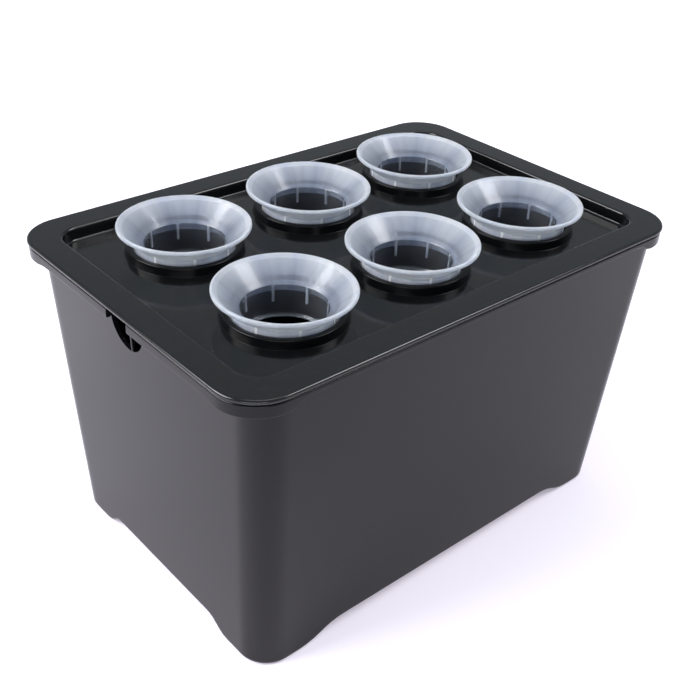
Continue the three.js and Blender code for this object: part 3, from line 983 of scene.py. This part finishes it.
floor_seen = worked_out(floor_tree, "MAXIMUM", floor_lift, floor_ray.outputs["Is Transmission Ray"])
floor_place = floor_tree.nodes.new("ShaderNodeTexCoord")
floor_reach = floor_tree.nodes.new("ShaderNodeVectorMath")
floor_reach.operation = "LENGTH"
floor_tree.links.new(floor_place.outputs["Object"], floor_reach.inputs[0])
# Painted shade: the floor's glow is weakest near the box, seen on the floor there and in what the tub's
# walls mirror of it.
painted_shade_near_box = mapped(floor_tree, floor_reach.outputs["Value"], given=(0.4, 1.1), wanted=(0.32, 1.0))
floor_glow = worked_out(floor_tree, "MULTIPLY", floor_seen, painted_shade_near_box)
floor_tree.links.new(floor_glow, floor_shader.inputs["Emission Strength"])
floor_mesh.materials.append(floor_paint)

sky = bpy.data.worlds.new("studio_sky")
sky.use_nodes = True
bpy.context.scene.world = sky
sky_node, sky_link = sky.node_tree.nodes.new, sky.node_tree.links.new
sky_light = sky.node_tree.nodes["Background"]
sky_way = sky_node("ShaderNodeTexCoord")
sky_axes = sky_node("ShaderNodeSeparateXYZ")
sky_link(sky_way.outputs["Generated"], sky_axes.inputs["Vector"])
sky_tones = sky_node("ShaderNodeValToRGB")
sky_tones.color_ramp.elements[0].position = 0.0
sky_tones.color_ramp.elements[0].color = (1.0, 1.0, 1.0, 1)
sky_tones.color_ramp.elements[1].position = 1.0
sky_tones.color_ramp.elements[1].color = (0.46, 0.51, 0.55, 1)
sky_red, sky_blue = 0.92, 1.06
for height, tone in ((0.07, 0.98), (0.20, 0.48), (0.32, 0.36), (0.60, 0.40)):
    sky_tones.color_ramp.elements.new(height).color = (tone * sky_red, tone, tone * sky_blue, 1)
sky_link(sky_axes.outputs["Z"], sky_tones.inputs["Fac"])
sky_link(sky_tones.outputs["Color"], sky_light.inputs["Color"])
sky_light.inputs["Strength"].default_value = 1.0


def soft_lamp(name, place, target, width, height, power, colour):
    """A flat soft lamp that faces a point."""
    lamp = bpy.data.lights.new(name, "AREA")
    lamp.shape = "RECTANGLE"
    lamp.size, lamp.size_y = width, height
    lamp.energy = power
    lamp.color = colour
    holder = bpy.data.objects.new(name, lamp)
    holder.location = place
    holder.rotation_euler = (Vector(target) - Vector(place)).to_track_quat("-Z", "Y").to_euler()
    bpy.context.scene.collection.objects.link(holder)


soft_lamp(
    "lamp_left",
    place=(-1.25, 0.65, 1.15),
    target=(-0.2, 0.05, 0.06),
    width=1.2,
    height=0.9,
    power=38,
    colour=(1.0, 0.99, 1.0),
)
soft_lamp(
    "lamp_above",
    place=(0.25, 0.1, 1.6),
    target=(0, 0, 0.1),
    width=0.9,
    height=0.7,
    power=4,
    colour=(0.97, 0.98, 1.0),
)
soft_lamp(
    "lamp_right",
    place=(0.90, -0.72, 1.36),
    target=(0, 0, 0.18),
    width=0.75,
    height=0.60,
    power=15,
    colour=(1.0, 0.99, 1.0),
)
soft_lamp(
    "lamp_front",
    place=(-1.25, -1.35, 0.42),
    target=(0, 0, 0.18),
    width=1.6,
    height=0.6,
    power=9,
    colour=(0.98, 0.98, 1.0),
)

view_turn, view_rise, view_roll = math.radians(-42.30), math.radians(32.38), math.radians(2.78)
camera_place = Vector((-343.537, -376.373, 421.114)) * MM
focal_pixels, frame_pixels = 1036.03, 700
back = Vector(
    (
        math.sin(view_turn) * math.cos(view_rise),
        -math.cos(view_turn) * math.cos(view_rise),
        math.sin(view_rise),
    )
)
level_right = (-back).cross(Vector((0, 0, 1))).normalized()
level_up = level_right.cross(-back)
right = level_right * math.cos(view_roll) + level_up * math.sin(view_roll)
up = level_up * math.cos(view_roll) - level_right * math.sin(view_roll)
camera_data = bpy.data.cameras.new("camera")
camera_data.sensor_width = 36
camera_data.lens = focal_pixels / frame_pixels * camera_data.sensor_width
camera_data.clip_start = 0.01
camera = bpy.data.objects.new("camera", camera_data)
camera.matrix_world = Matrix.Translation(camera_place) @ Matrix((right, up, back)).transposed().to_4x4()
bpy.context.scene.collection.objects.link(camera)
bpy.context.scene.camera = camera
bpy.context.scene.view_settings.view_transform = "Standard"
